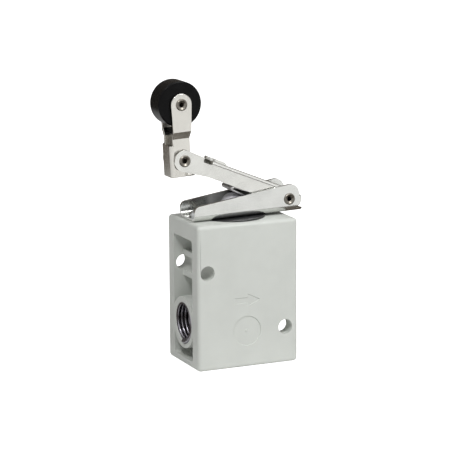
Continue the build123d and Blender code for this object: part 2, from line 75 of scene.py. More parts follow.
Colour = tuple[float, float, float, float]
Node = bpy.types.Node
Socket = bpy.types.NodeSocket


class Body(Enum):
    """The bodies of the frame that the pieces made here ride on."""

    HOUSING = "housing"
    LEVER = "lever"
    FORK = "fork"
    WHEEL = "wheel"
    STEM = "stem"


class Slot(Enum):
    """The record's material slots, one for each kind of piece made here."""

    MOULDED_BODY = "moulded_body"
    BLACK_PLASTIC = "black_plastic"
    BRIGHT_STEEL = "bright_steel"
    RIVET_STEEL = "rivet_steel"
    SPRING_STEEL = "spring_steel"
    ROLLER_PLASTIC = "roller_plastic"
    BUTTON_PLASTIC = "button_plastic"
    SCREW_STEEL = "screw_steel"


class Axis(Enum):
    """A direction that a grain runs in, or that a turned piece turns about."""

    X = "X"
    Y = "Y"
    Z = "Z"


def linear(colour: str) -> Colour:
    """Turns an sRGB colour to the linear values that a shader takes.

    Args:
        colour: Six hexadecimal digits after a hash sign.

    Returns:
        Red, green, blue and an alpha of one.
    """
    channels = [int(colour[i:i + 2], 16) / 255 for i in (1, 3, 5)]
    values = [c / 12.92 if c <= 0.04045 else ((c + 0.055) / 1.055) ** 2.4 for c in channels]
    return (values[0], values[1], values[2], 1.0)


def add_node(
    tree: bpy.types.NodeTree,
    kind: str,
    settings: dict[str, Any] | None = None,
    inputs: dict[str | int, Any] | None = None,
) -> Node:
    """Adds one node with its settings and links.

    Args:
        tree: The node tree that takes the node.
        kind: The node's type name.
        settings: Properties of the node.
        inputs: Values for its sockets, or sockets to link to them, by name or number.

    Returns:
        The new node.
    """
    node = tree.nodes.new(kind)
    for key, value in (settings or {}).items():
        setattr(node, key, value)
    for key, value in (inputs or {}).items():
        if isinstance(value, Socket):
            tree.links.new(value, node.inputs[key])
        else:
            node.inputs[key].default_value = value
    return node


def ramp(
    tree: bpy.types.NodeTree, value: Socket, low: tuple[float, float], high: tuple[float, float],
) -> Socket:
    """Maps a value from one range to another, held at the ends.

    Args:
        tree: The tree that takes the node.
        value: The socket that is mapped.
        low: The value at the low end, and what it becomes.
        high: The value at the high end, and what it becomes.

    Returns:
        The mapped value's socket.
    """
    node = add_node(tree, "ShaderNodeMapRange", {}, {
        "Value": value, "From Min": low[0], "To Min": low[1], "From Max": high[0], "To Max": high[1],
    })
    return node.outputs["Result"]


# Finishes


def noise(
    tree: bpy.types.NodeTree, where: Socket, size_mm: float, detail: float, roughness: float = 0.5,
) -> Socket:
    """Adds a noise pattern.

    Args:
        tree: The tree that takes the node.
        where: The coordinates that it lies on.
        size_mm: About the size of its blots, in millimetres.
        detail: The number of finer layers in it.
        roughness: How strong the finer layers are.

    Returns:
        The pattern's socket.
    """
    pattern = add_node(tree, "ShaderNodeTexNoise", {}, {
        "Vector": where, "Scale": 1 / (size_mm * MM), "Detail": detail, "Roughness": roughness,
    })
    return pattern.outputs["Fac"]


def rising(tree: bpy.types.NodeTree, pattern: Socket, band: tuple[float, float], most: float) -> Socket:
    """Nought below a band of a pattern, and rising through it to the most."""
    return ramp(tree, pattern, (band[0], 0.0), (band[1], most))


def emboss(
    tree: bpy.types.NodeTree, shader: Node, height: Socket, depth_mm: float, strength: float = 1.0,
) -> None:
    """Lets a pattern show as relief.

    Args:
        tree: The material's tree.
        shader: Its shader.
        height: The pattern.
        depth_mm: The relief's depth, in millimetres.
        strength: How much of the relief the light takes up.
    """
    relief = add_node(tree, "ShaderNodeBump", {}, {
        "Height": height, "Strength": strength, "Distance": depth_mm * MM,
    })
    tree.links.new(relief.outputs["Normal"], shader.inputs["Normal"])


@dataclass(frozen=True)
class Finish:
    """A finish: what every material here has, and how it is made once and used again.

    Where the roughness follows a pattern, it runs from a little below the finish's own to a little above,
    as spread says, while the pattern runs through its band.
    """

    name: str
    colour: str
    roughness: float
    band: tuple[float, float] = (0.3, 0.7)
    spread: tuple[float, float] = (0.05, 0.08)

    def coordinates(self, tree: bpy.types.NodeTree, stretch: Sequence[float] = (1, 1, 1)) -> Socket:
        """Object coordinates, stretched along the axes.

        Args:
            tree: The material's tree.
            stretch: How many times finer the pattern runs along each axis.

        Returns:
            The coordinates' socket.
        """
        origin = add_node(tree, "ShaderNodeTexCoord")
        mapping = add_node(tree, "ShaderNodeMapping", {}, {
            "Vector": origin.outputs["Object"], "Scale": stretch,
        })
        return mapping.outputs["Vector"]

    def uneven(self, tree: bpy.types.NodeTree, pattern: Socket) -> Socket:
        """Roughness that follows a pattern."""
        (low, high), (less, more) = self.band, self.spread
        return ramp(tree, pattern, (low, self.roughness - less), (high, self.roughness + more))

    def soil(self, tree: bpy.types.NodeTree, shader: Node, share: Socket, stain: str) -> None:
        """Mixes a stain into the colour.

        Args:
            tree: The material's tree.
            shader: Its shader.
            share: How much of the stain there is at each spot.
            stain: The stain's colour.
        """
        mixed = add_node(tree, "ShaderNodeMix", {"data_type": "RGBA"}, {
            "Factor": share, 6: linear(self.colour), 7: linear(stain),
        })
        tree.links.new(mixed.outputs[2], shader.inputs["Base Color"])

    def shade(self, tree: bpy.types.NodeTree, shader: Node) -> None:
        """Links this finish's patterns to the shader. A finish without patterns links none."""

    def material(self) -> bpy.types.Material:
        """The finish as a material, made the first time that it is asked for.

        Returns:
            The material.
        """
        made = bpy.data.materials.get(self.name)
        if made is not None:
            return made
        made = bpy.data.materials.new(self.name)
        made.use_nodes = True
        tree = made.node_tree
        shader = tree.nodes["Principled BSDF"]
        shader.inputs["Base Color"].default_value = linear(self.colour)
        shader.inputs["Roughness"].default_value = self.roughness
        self.shade(tree, shader)
        return made


@dataclass(frozen=True)
class MouldedPlastic(Finish):
    """Injection-moulded plastic with a spark-eroded grain.

    The eye sees a soft, even sheen that breaks up close by, and a faint clouding where the melt flowed.
    """

    band: tuple[float, float] = (0.25, 0.75)
    spread: tuple[float, float] = (0.05, 0.07)
    ior: float = 1.49
    grain_mm: float = 0.28
    grain_height_mm: float = 0.006
    cloud_mm: float = 9.0
    cloud_band: tuple[float, float] = (0.3, 0.7)
    cloud_share: float = 0.03

    def shade(self, tree: bpy.types.NodeTree, shader: Node) -> None:
        """Adds clouding to the colour, and the mould's grain to roughness and relief.

        Args:
            tree: The material's tree.
            shader: Its shader.
        """
        shader.inputs["IOR"].default_value = self.ior
        where = self.coordinates(tree)
        cloud = noise(tree, where, self.cloud_mm, detail=3.0)
        low, high = self.cloud_band
        level = ramp(tree, cloud, (low, 1 - self.cloud_share), (high, 1 + self.cloud_share))
        tinted = add_node(tree, "ShaderNodeMix", {"data_type": "RGBA", "blend_type": "MULTIPLY"}, {
            "Factor": 1.0, 6: linear(self.colour), 7: level,
        })
        tree.links.new(tinted.outputs[2], shader.inputs["Base Color"])
        grain = noise(tree, where, self.grain_mm, detail=2.0, roughness=0.6)
        tree.links.new(self.uneven(tree, grain), shader.inputs["Roughness"])
        emboss(tree, shader, grain, self.grain_height_mm)


@dataclass(frozen=True)
class RolledSteel(Finish):
    """Bright stainless strip, rolled and then bent.

    The eye sees long soft reflections that are drawn out along the rolling direction, and fine lines in them.
    """

    spread: tuple[float, float] = (0.04, 0.05)
    along: Axis = Axis.X
    turn: float = 0.0
    line_mm: float = 0.09
    line_length: float = 60.0
    line_height_mm: float = 0.0007
    smear_mm: float = 5.0
    smear_band: tuple[float, float] = (0.35, 0.7)
    smudge: float = 0.07

    def shade(self, tree: bpy.types.NodeTree, shader: Node) -> None:
        """Adds the rolling lines to roughness and relief, and wide soft smears to roughness.

        Args:
            tree: The material's tree.
            shader: Its shader.
        """
        shader.inputs["Metallic"].default_value = 1.0
        origin = add_node(tree, "ShaderNodeTexCoord")
        turned = add_node(tree, "ShaderNodeMapping", {}, {
            "Vector": origin.outputs["Object"], "Rotation": (0, self.turn, 0),
        }).outputs["Vector"]
        stretch = [1.0, 1.0, 1.0]
        stretch["XYZ".index(self.along.value)] = 1 / self.line_length
        drawn = add_node(tree, "ShaderNodeMapping", {}, {"Vector": turned, "Scale": stretch})
        lines = noise(tree, drawn.outputs["Vector"], self.line_mm, detail=2.0, roughness=0.6)
        smear = noise(tree, turned, self.smear_mm, detail=3.0, roughness=0.55)
        rough = add_node(tree, "ShaderNodeMath", {"operation": "ADD"}, {
            0: self.uneven(tree, lines), 1: rising(tree, smear, self.smear_band, self.smudge),
        })
        tree.links.new(rough.outputs["Value"], shader.inputs["Roughness"])
        emboss(tree, shader, lines, self.line_height_mm)


@dataclass(frozen=True)
class TurnedMetal(Finish):
    """Metal turned on a lathe or drawn through a die.

    The eye sees fine rings or draw lines round the piece, and a softer sheen than on the rolled strip.
    """

    about: Axis = Axis.Z
    ring_mm: float = 0.08
    ring_stretch: float = 0.04
    ring_height_mm: float = 0.0008
    stain: str = "#5a564e"
    stain_mm: float = 1.6
    stain_band: tuple[float, float] = (0.45, 0.75)
    stain_share: float = 0.48

    def shade(self, tree: bpy.types.NodeTree, shader: Node) -> None:
        """Adds the lathe's rings and a little tarnish.

        Args:
            tree: The material's tree.
            shader: Its shader.
        """
        shader.inputs["Metallic"].default_value = 1.0
        stretch = [self.ring_stretch] * 3
        stretch["XYZ".index(self.about.value)] = 1.0
        rings = noise(tree, self.coordinates(tree, stretch), self.ring_mm, detail=2.0)
        tree.links.new(self.uneven(tree, rings), shader.inputs["Roughness"])
        emboss(tree, shader, rings, self.ring_height_mm)
        cloud = noise(tree, self.coordinates(tree), self.stain_mm, detail=4.0)
        self.soil(tree, shader, rising(tree, cloud, self.stain_band, self.stain_share), self.stain)


@dataclass(frozen=True)
class TurnedPlastic(Finish):
    """Black acetal, moulded and skimmed on a lathe.

    The eye sees a satin black with fine rings on its faces, a softer tread and a slightly dusty grey sheen.
    """

    ior: float = 1.48
    specular: float = 0.12
    centre: tuple[float, float, float] = (0.0, 0.0, 0.0)
    across_axle: tuple[float, float, float] = (1.0, 0.0, 1.0)
    ring_mm: float = 0.22
    tooth_mm: float = 0.2
    relief_mm: float = 0.004
    relief_strength: float = 0.8
    dust: str = "#3a3a39"
    dust_mm: float = 3.0
    dust_band: tuple[float, float] = (0.5, 0.8)
    dust_share: float = 0.1

    def shade(self, tree: bpy.types.NodeTree, shader: Node) -> None:
        """Adds rings about the axle, a fine tooth and a little dust in patches.

        Args:
            tree: The material's tree.
            shader: Its shader.
        """
        shader.inputs["IOR"].default_value = self.ior
        shader.inputs["Specular IOR Level"].default_value = self.specular
        origin = add_node(tree, "ShaderNodeTexCoord")
        centred = add_node(tree, "ShaderNodeVectorMath", {"operation": "SUBTRACT"}, {
            0: origin.outputs["Object"], 1: self.centre,
        }).outputs["Vector"]
        flat = add_node(tree, "ShaderNodeVectorMath", {"operation": "MULTIPLY"}, {
            0: centred, 1: self.across_axle,
        })
        radius = add_node(tree, "ShaderNodeVectorMath", {"operation": "LENGTH"}, {0: flat.outputs["Vector"]})
        rings = add_node(tree, "ShaderNodeTexNoise", {"noise_dimensions": "1D"}, {
            "W": radius.outputs["Value"], "Scale": 1 / (self.ring_mm * MM), "Detail": 2.0,
        })
        tooth = noise(tree, centred, self.tooth_mm, detail=2.0)
        height = add_node(tree, "ShaderNodeMath", {"operation": "ADD"}, {0: rings.outputs["Fac"], 1: tooth})
        emboss(tree, shader, height.outputs["Value"], self.relief_mm, self.relief_strength)
        tree.links.new(self.uneven(tree, tooth), shader.inputs["Roughness"])
        patches = noise(tree, centred, self.dust_mm, detail=5.0, roughness=0.6)
        self.soil(tree, shader, rising(tree, patches, self.dust_band, self.dust_share), self.dust)


class Palette:
    """Every finish of the valve, by its common name."""

    # Glass-filled polyester moulding: pale warm grey with a fine even grain.
    body = MouldedPlastic("grey_polyester_moulding", "#cfd2cd", 0.46)
    # Black nylon: the same grain, nearly no colour, a slightly waxy sheen.
    bush = MouldedPlastic("black_nylon_moulding", "#1b1b1d", 0.42, cloud_share=0.08)
    # Acetal cap: smooth, cool grey with a violet cast, glossy enough for a soft highlight.
    button = MouldedPlastic("grey_acetal_cap", "#dddce1", 0.3, grain_height_mm=0.002)
    # Nitrile rubber: dark, dull, almost without highlights.
    rubber = MouldedPlastic("nitrile_rubber", "#161616", 0.62, grain_height_mm=0.008)
    # The base, arm and fork are one stainless strip. Their slightly different colours are painted light and
    # shade, set to how bright each part looks.
    # Stainless strip of the base, rolled along the bracket.
    base_strip = RolledSteel("stainless_strip_base", "#d2d3d0", 0.17)
    # The same strip in the arm, with its rolling lines along the arm, in a lighter colour that is painted
    # light.
    arm_strip = RolledSteel("stainless_strip_arm", "#d8d8d4", 0.2, turn=math.radians(ARM_RISE_DEGREES))
    # The same strip in the folding bracket, with its lines upright, in a warmer, darker colour that is
    # painted shade.
    fork_strip = RolledSteel(
        "stainless_strip_fork", "#d3d1cb", 0.19, along=Axis.Z, line_height_mm=0.0003, smudge=0.04,
    )
    # Hardened spring strip and wire: darker and bluer than the bent strip.
    spring = RolledSteel("spring_steel", "#a9a9aa", 0.24, line_mm=0.06)
    # Drawn tube rivets: duller, with draw lines along the tube.
    rivet = TurnedMetal("drawn_steel_rivet", "#7f7b74", 0.3, about=Axis.Y)
    # Turned brass inside the valve.
    brass = TurnedMetal("turned_brass", "#c9a961", 0.24)
    # Bare metal of the cut threads: dark valleys, thin bright crests.
    thread = TurnedMetal("cut_thread", "#8f8d94", 0.26, about=Axis.X)
    # Zinc-plated screw: cool and slightly cloudy.
    screw = TurnedMetal("zinc_plated_screw", "#bfc1c2", 0.3)


# Shapes


def cleaned(mesh: bpy.types.Mesh) -> bpy.types.Mesh:
    """Drops the custom normals that a copied mesh brings along.

    Args:
        mesh: The copied mesh.

    Returns:
        The same mesh.
    """
    stale = mesh.attributes.get("custom_normal")
    if stale is not None:
        mesh.attributes.remove(stale)
    return mesh


def plain_object(name: str, mesh: bpy.types.Mesh) -> bpy.types.Object:
    """Links a mesh to the scene as an object at the origin.

    Args:
        name: The object's name.
        mesh: Its mesh, with its place in its vertices.

    Returns:
        The new object.
    """
    made = bpy.data.objects.new(name, mesh)
    bpy.context.scene.collection.objects.link(made)
    return made


def settled(piece: bpy.types.Object) -> bpy.types.Object:
    """Turns an object's modifiers into its mesh.

    Args:
        piece: The object with live modifiers.

    Returns:
        The same object with a plain mesh and no modifiers.
    """
    bpy.context.view_layer.update()
    graph = bpy.context.evaluated_depsgraph_get()
    result = bpy.data.meshes.new_from_object(piece.evaluated_get(graph), depsgraph=graph)
    piece.modifiers.clear()
    piece.data = result
    return piece


def dress(piece: bpy.types.Object, finish: Finish) -> bpy.types.Object:
    """Gives a piece one finish all over.

    Args:
        piece: The piece.
        finish: Its finish.

    Returns:
        The same piece.
    """
    piece.data.materials.clear()
    piece.data.materials.append(finish.material())
    return piece


def repaint(node: str, finish: Finish) -> None:
    """Assigns a finish to a node of the frame, through its object's material slots.

    Args:
        node: The node's name.
        finish: Its finish.
    """
    for material_slot in frame["nodes"][node].material_slots:
        material_slot.link = "OBJECT"
        material_slot.material = finish.material()


def place(piece: bpy.types.Object, body: Body, slot: Slot, *nodes: str) -> bpy.types.Object:
    """Puts a finished piece on its body, in the stead of its nodes.

    Args:
        piece: The finished piece, at the origin.
        body: The body that it rides on.
        slot: The record's slot for its finish, which is not used here.
        nodes: The frame's nodes that it stands for.

    Returns:
        The same piece.
    """
    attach(piece, body.value)
    if nodes:
        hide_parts(*nodes)
    log.info("%s rides on %s, %d faces", piece.name, body.value, len(piece.data.polygons))
    return piece


def held(piece: bpy.types.Object, surface: BVHTree, edge: float) -> None:
    """Puts back the corners that an eased edge threw off the surface, where it ran over a tiny face.

    Args:
        piece: The piece with eased edges.
        surface: Its surface before they were eased.
        edge: The width of an eased edge, in metres.
    """
    for vertex in piece.data.vertices:
        nearest, _, _, distance = surface.find_nearest(vertex.co)
        if distance > edge / 2:
            vertex.co = nearest


def plain_copy(name: str, node: str) -> bpy.types.Object:
    """Copies a node of the frame, with doubled corners joined and flat faces made whole.

    Args:
        name: The new piece's name.
        node: The node that is copied.

    Returns:
        The smoothly shaded copy, at the origin.
    """
    mesh = bpy.data.meshes.new(name)
    shape = bmesh.new()
    shape.from_mesh(frame["nodes"][node].data)
    bmesh.ops.remove_doubles(shape, verts=shape.verts, dist=TINY_MM * MM)
    flat = math.radians(FLAT_DEGREES)
    bmesh.ops.dissolve_limit(shape, angle_limit=flat, verts=shape.verts, edges=shape.edges)
    shape.to_mesh(mesh)
    shape.free()
    piece = plain_object(name, cleaned(mesh))
    for face in mesh.polygons:
        face.use_smooth = True
    return piece


def eased_copy(
    name: str,
    node: str,
    edge: float,
    carve: Callable[[bpy.types.Object], None] | None = None,
    wide: bool = False,
) -> bpy.types.Object:
    """Copies a node of the frame with its sharp edges eased, so that they catch the light.

    Args:
        name: The new piece's name.
        node: The node that is copied.
        edge: The width of the eased edge, in metres.
        carve: A function that cuts marks into the copy before its edges are eased.
        wide: Whether every edge gets its full width, also where it runs over a tiny face.

    Returns:
        The copy, at the origin, with a plain mesh.
    """
    piece = plain_copy(name, node)
    if carve is not None:
        carve(piece)
    surface = BVHTree.FromPolygons(
        [vertex.co.copy() for vertex in piece.data.vertices],
        [list(face.vertices) for face in piece.data.polygons],
    )
    easing = piece.modifiers.new("eased edges", "BEVEL")
    easing.width = edge
    easing.segments = EDGE_STEPS
    easing.limit_method = "ANGLE"
    easing.angle_limit = math.radians(EDGE_DEGREES)
    easing.use_clamp_overlap = not wide
    held(settled(piece), surface, edge)
    weights = piece.modifiers.new("flat faces stay flat", "WEIGHTED_NORMAL")
    weights.keep_sharp = True
    return settled(piece)


def grown(name: str, tree: bpy.types.NodeTree, values: dict[str, Any]) -> bpy.types.Object:
    """Runs a Geometry Nodes tree once and keeps its result as a plain mesh.

    Args:
        name: The new piece's name.
        tree: The tree, whose inputs are named.
        values: A value for each named input.

    Returns:
        The piece, at the origin.
    """
    piece = plain_object(name, bpy.data.meshes.new(name))
    modifier = piece.modifiers.new("grown", "NODES")
    modifier.node_group = tree
    named = {item.name: item.identifier for item in tree.interface.items_tree if item.in_out == "INPUT"}
    for key, value in values.items():
        modifier[named[key]] = value
    return settled(piece)


def helix_sockets(tree: bpy.types.NodeTree) -> None:
    """Gives a helix tree its named inputs and its output.

    Args:
        tree: The empty tree.
    """
    sizes = {
        "Radius": "NodeSocketFloat", "Rise": "NodeSocketFloat", "Turns": "NodeSocketFloat",
        "Steps per turn": "NodeSocketInt", "Section width": "NodeSocketFloat",
        "Section height": "NodeSocketFloat", "Section sides": "NodeSocketInt",
        "Finish": "NodeSocketMaterial",
    }
    for label, kind in sizes.items():
        tree.interface.new_socket(label, in_out="INPUT", socket_type=kind)
    tree.interface.new_socket("Helix", in_out="OUTPUT", socket_type="NodeSocketGeometry")


def helix_tree(name: str) -> bpy.types.NodeTree:
    """A tree that winds a rib or a wire of any section into a helix about the Z axis.

    The section is a circle of a few sides, squeezed to a height and a width, so that three or four
    sides make a thread's crest and twelve make a wire.

    Args:
        name: The tree's name.

    Returns:
        The tree.
    """
    tree = bpy.data.node_groups.new(name, "GeometryNodeTree")
    helix_sockets(tree)
    given = add_node(tree, "NodeGroupInput").outputs
    spiral = add_node(tree, "GeometryNodeCurveSpiral", {}, {
        "Resolution": given["Steps per turn"], "Rotations": given["Turns"], "Start Radius": given["Radius"],
        "End Radius": given["Radius"], "Height": given["Rise"],
    })
    upright = add_node(tree, "GeometryNodeSetCurveNormal", {"mode": "Z_UP"}, {
        "Curve": spiral.outputs["Curve"],
    })
    circle = add_node(tree, "GeometryNodeCurvePrimitiveCircle", {}, {
        "Resolution": given["Section sides"], "Radius": 1.0,
    })
    squeeze = add_node(tree, "ShaderNodeCombineXYZ", {}, {
        "X": given["Section height"], "Y": given["Section width"], "Z": 1.0,
    })
    section = add_node(tree, "GeometryNodeTransform", {}, {
        "Geometry": circle.outputs["Curve"], "Scale": squeeze.outputs["Vector"],
    })
    swept = add_node(tree, "GeometryNodeCurveToMesh", {}, {
        "Curve": upright.outputs["Curve"], "Profile Curve": section.outputs["Geometry"], "Fill Caps": True,
    })
    smooth = add_node(tree, "GeometryNodeSetShadeSmooth", {}, {"Geometry": swept.outputs["Mesh"]})
    real = add_node(tree, "GeometryNodeRealizeInstances", {}, {"Geometry": smooth.outputs["Geometry"]})
    painted = add_node(tree, "GeometryNodeSetMaterial", {}, {
        "Geometry": real.outputs["Geometry"], "Material": given["Finish"],
    })
    add_node(tree, "NodeGroupOutput", {}, {"Helix": painted.outputs["Geometry"]})
    return tree


def moved(piece: bpy.types.Object, transform: Matrix) -> bpy.types.Object:
    """Moves a piece's mesh, so that its object stays at the origin.

    Args:
        piece: The piece.
        transform: Where its mesh goes.

    Returns:
        The same piece.
    """
    piece.data.transform(transform)
    piece.data.update()
    return piece


def one_face(name: str, corners: Sequence[tuple[float, float, float]]) -> bpy.types.Mesh:
    """A mesh of a single face with four corners.

    Args:
        name: The mesh's name.
        corners: Its corners in metres, anticlockwise as seen from its front.

    Returns:
        The mesh.
    """
    mesh = bpy.data.meshes.new(name)
    mesh.from_pydata(corners, [], [(0, 1, 2, 3)])
    return mesh


def prism(
    name: str, outline: Sequence[tuple[float, float]], front: float, back: float,
) -> bpy.types.Object:
    """A solid across Y from an outline in X and Z.

    Args:
        name: The object's name.
        outline: Corners in metres, anticlockwise as seen from the front.
        front: The Y of its front face.
        back: The Y of its back face.

    Returns:
        The solid.
    """
    shape = bmesh.new()
    near = [shape.verts.new((x, front, z)) for x, z in outline]
    far = [shape.verts.new((x, back, z)) for x, z in outline]
    shape.faces.new(near)
    shape.faces.new(list(reversed(far)))
    count = len(outline)
    for i in range(count):
        following = (i + 1) % count
        shape.faces.new((near[i], far[i], far[following], near[following]))
    bmesh.ops.recalc_face_normals(shape, faces=shape.faces)
    mesh = bpy.data.meshes.new(name)
    shape.to_mesh(mesh)
    shape.free()
    return plain_object(name, mesh)


def subtract(piece: bpy.types.Object, cutter: bpy.types.Object) -> None:
    """Cuts one solid out of another and removes the cutter.

    Args:
        piece: The solid that is cut.
        cutter: The solid that is taken away from it.
    """
    cut = piece.modifiers.new("cut", "BOOLEAN")
    cut.operation = "DIFFERENCE"
    cut.solver = "EXACT"
    cut.object = cutter
    settled(piece)
    bpy.data.objects.remove(cutter)


# Sub-assemblies


@dataclass
class ValveBlock:
    """The moulded block, its flow arrow and the threads in its two ports."""

    edge_mm: float = 0.22
    arrow_depth_mm: float = 0.22
    arrow_tail_mm: tuple[float, float] = (-5.0, 23.3)
    arrow_length_mm: float = 9.3
    arrow_shaft_mm: float = 1.9
    arrow_head_mm: tuple[float, float] = (4.5, 4.3)
    cutter_reach_mm: float = 1.0
    thread_pitch_mm: float = 1.337
    thread_depth_mm: float = 0.856
    thread_length_mm: float = 9.2
    thread_sides: int = 4
    thread_steps: int = 72

    def arrow_outline(self) -> list[tuple[float, float]]:
        """The flow arrow's outline.

        Returns:
            Its corners in X and Z, in metres.
        """
        left, middle = (value * MM for value in self.arrow_tail_mm)
        length = self.arrow_length_mm * MM
        shaft = self.arrow_shaft_mm / 2 * MM
        head_length, head_width = (value * MM for value in self.arrow_head_mm)
        neck = left + length - head_length
        return [
            (left, middle - shaft), (neck, middle - shaft), (neck, middle - head_width / 2),
            (left + length, middle), (neck, middle + head_width / 2), (neck, middle + shaft),
            (left, middle + shaft),
        ]

    def carve_arrow(self, block: bpy.types.Object) -> None:
        """Sinks the arrow into the front face of the block's copy.

        Args:
            block: The copy.
        """
        front = min(vertex.co.y for vertex in block.data.vertices)
        outside, floor = front - self.cutter_reach_mm * MM, front + self.arrow_depth_mm * MM
        subtract(block, prism("arrow_cutter", self.arrow_outline(), outside, floor))

    def thread(self, name: str, port: dict[str, Any], tree: bpy.types.NodeTree) -> bpy.types.Object:
        """One port's internal thread, wound on its axis.

        Args:
            name: The piece's name.
            port: The port's mount in the record.
            tree: The helix tree.

        Returns:
            The thread.
        """
        wall = port["dims"]["r_mm"] * MM
        half_pitch = self.thread_pitch_mm / 2 * MM
        rise = self.thread_length_mm * MM
        rib = grown(name, tree, {
            "Radius": wall, "Rise": rise, "Turns": self.thread_length_mm / self.thread_pitch_mm,
            "Steps per turn": self.thread_steps, "Section width": half_pitch,
            "Section height": self.thread_depth_mm * MM, "Section sides": self.thread_sides,
            "Finish": Palette.thread.material(),
        })
        outwards = Vector(port["axis"])
        turn = Vector((0, 0, 1)).rotation_difference(-outwards).to_matrix().to_4x4()
        middle = Vector(port["pos_m"])
        length = port["dims"]["length_mm"] * MM
        mouth = middle + outwards * (length / 2)
        return moved(rib, Matrix.Translation(mouth - outwards * (length - rise) / 2) @ turn)

    def build(self, tree: bpy.types.NodeTree) -> None:
        """Makes the block's copy and its threads, and places them.

        Args:
            tree: The helix tree.
        """
        block = eased_copy("valve_block", "body", self.edge_mm * MM, self.carve_arrow)
        place(dress(block, Palette.body), Body.HOUSING, Slot.MOULDED_BODY, "body")
        ports = {m["name"]: m for m in frame["record"]["mounts"] if m["kind"] == "threaded_hole"}
        for port_name, port in sorted(ports.items()):
            thread = self.thread(f"{port_name}_thread", port, tree)
            place(thread, Body.HOUSING, Slot.SCREW_STEEL)


@dataclass
class PoppetValve:
    """The parts inside the block: bush, button, plunger, poppet, seat, plug, springs and seals."""

    edge_mm: float = 0.12
    wire_sides: int = 14
    wire_steps: int = 40
    plunger_spring_mm: tuple[float, float] = (0.8, 4.5)
    poppet_spring_mm: tuple[float, float] = (0.7, 4.0)
    seals: tuple[str, ...] = ("bush_oring", "plunger_oring", "seat_oring", "plug_oring", "poppet_seal")
    turned: tuple[str, ...] = ("plunger", "poppet", "seat_ring", "bottom_plug")

    def spring(
        self, node: str, wire_and_turns: tuple[float, float], joint: str, tree: bpy.types.NodeTree,
    ) -> None:
        """Makes and places a coil spring.

        Args:
            node: The node that it stands for.
            wire_and_turns: The wire's thickness in millimetres, and the number of turns.
            joint: The joint that presses it together, which is not used here.
            tree: The helix tree.
        """
        low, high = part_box(node)
        wire, turns = wire_and_turns
        half_wire = wire / 2 * MM
        radius = (high.x - low.x) / 2 - half_wire
        coil = grown(f"{node}_coil", tree, {
            "Radius": radius, "Rise": high.z - low.z - 2 * half_wire, "Turns": turns,
            "Steps per turn": self.wire_steps, "Section width": half_wire, "Section height": half_wire,
            "Section sides": self.wire_sides, "Finish": Palette.spring.material(),
        })
        moved(coil, Matrix.Translation((0, 0, low.z + half_wire)))
        place(coil, Body.HOUSING, Slot.SPRING_STEEL, node)
        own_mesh(coil)

    def build(self, tree: bpy.types.NodeTree) -> None:
        """Dresses the nodes, and makes the bush, the button and the springs.

        Args:
            tree: The helix tree.
        """
        for name in self.seals:
            repaint(name, Palette.rubber)
        for name in self.turned:
            repaint(name, Palette.brass)
        bush = eased_copy("guide_bush_moulding", "guide_bush", self.edge_mm * MM)
        place(dress(bush, Palette.bush), Body.HOUSING, Slot.BLACK_PLASTIC, "guide_bush")
        cap = eased_copy("button_cap", "button", self.edge_mm * MM)
        place(dress(cap, Palette.button), Body.STEM, Slot.BUTTON_PLASTIC, "button")
        self.spring("plunger_spring", self.plunger_spring_mm, "button_press", tree)
        self.spring("poppet_spring", self.poppet_spring_mm, "poppet_lift", tree)


